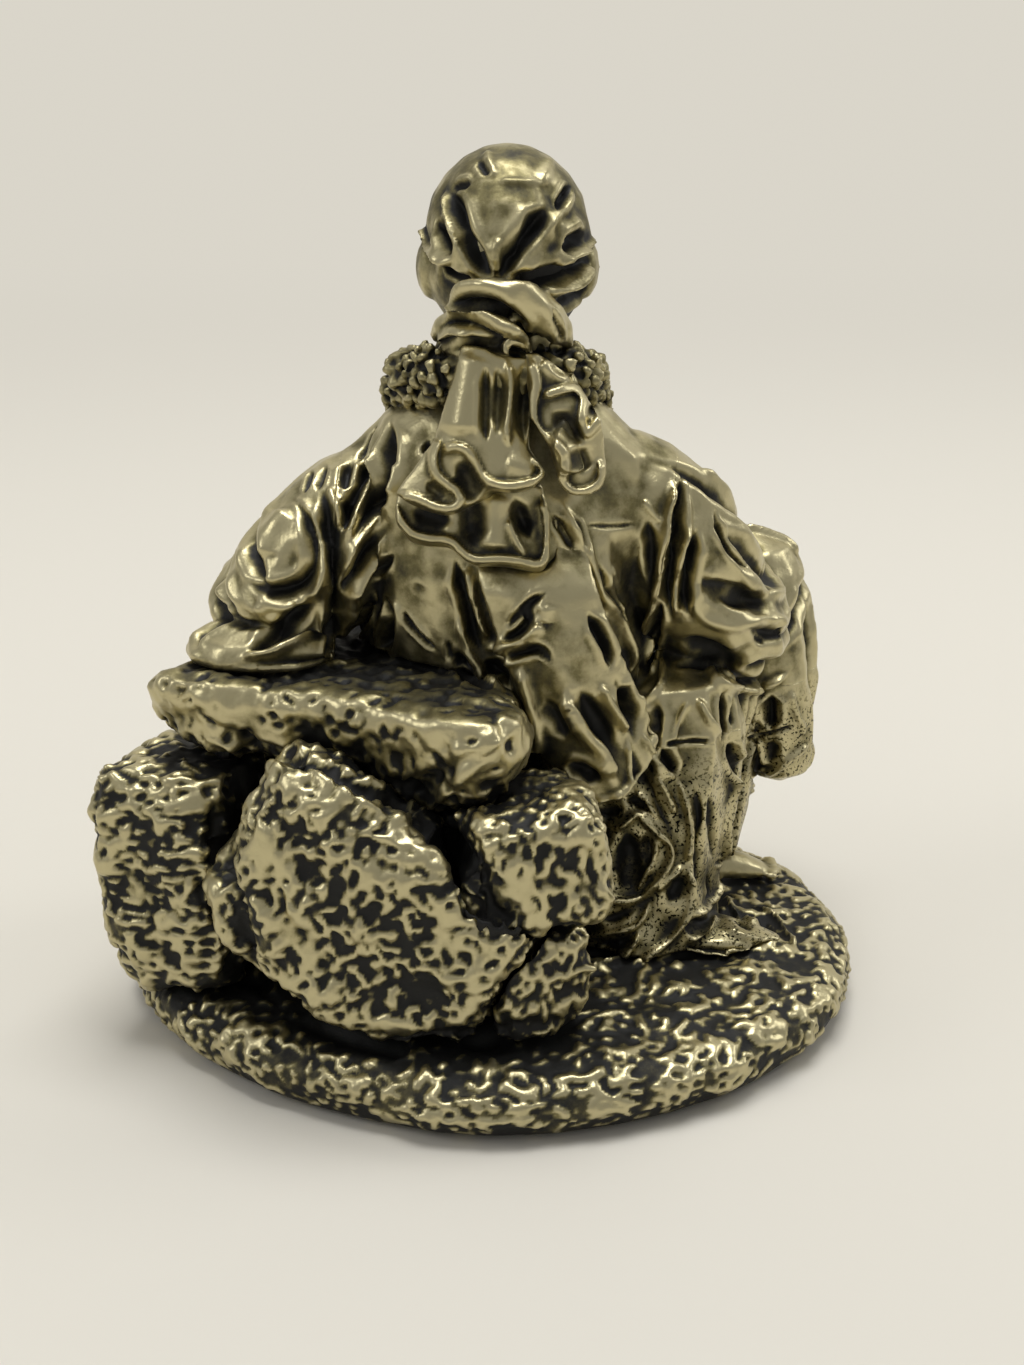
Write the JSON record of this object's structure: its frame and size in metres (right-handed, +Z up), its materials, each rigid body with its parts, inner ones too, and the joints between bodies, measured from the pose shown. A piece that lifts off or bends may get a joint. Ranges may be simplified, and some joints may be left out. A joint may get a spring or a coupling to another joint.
{
  "type": "seated saint statue",
  "caption": "Cast brass statue of a robed, seated saint leaning on rocks, with a felt-covered foot, for standing on a shelf.",
  "frame": {"origin": "middle of the foot of the statue, on the surface that it stands on", "axes": "+Z up, +Y the way the figure faces, +X the figure's right"},
  "size_m": [0.0892, 0.0807, 0.0994],
  "materials": {
    "brass": "antique, polished on the ridges with dark patina in the hollows",
    "felt": "matt felt",
    "steel": "plain steel"
  },
  "bodies": {
    "root": {"ground": "brass", "felt_pad": "felt", "slab_rock": "brass", "pillar_rock": "brass", "main_boulder": "brass", "corner_boulder": "brass", "foot_stone": "brass", "front_boulder": "brass", "torso_robe": "brass", "left_sleeve": "brass", "right_sleeve": "brass", "robe_skirt": "brass", "right_leg_robe": "brass", "left_leg_robe": "brass", "head": "brass", "headscarf": "brass", "scarf_roll": "brass", "garland": "brass", "scarf_tail_left": "brass", "scarf_tail_right": "brass", "scarf_tail_lower": "brass", "back_sash": "brass", "left_hand": "brass", "right_hand": "brass", "left_foot": "brass", "right_foot": "brass", "figure_screw_rear": "steel", "figure_screw_front": "steel", "boulder_screw": "steel", "pillar_screw": "steel", "pillar_pin": "steel", "front_boulder_pin": "steel"}
  },
  "joints": []
}
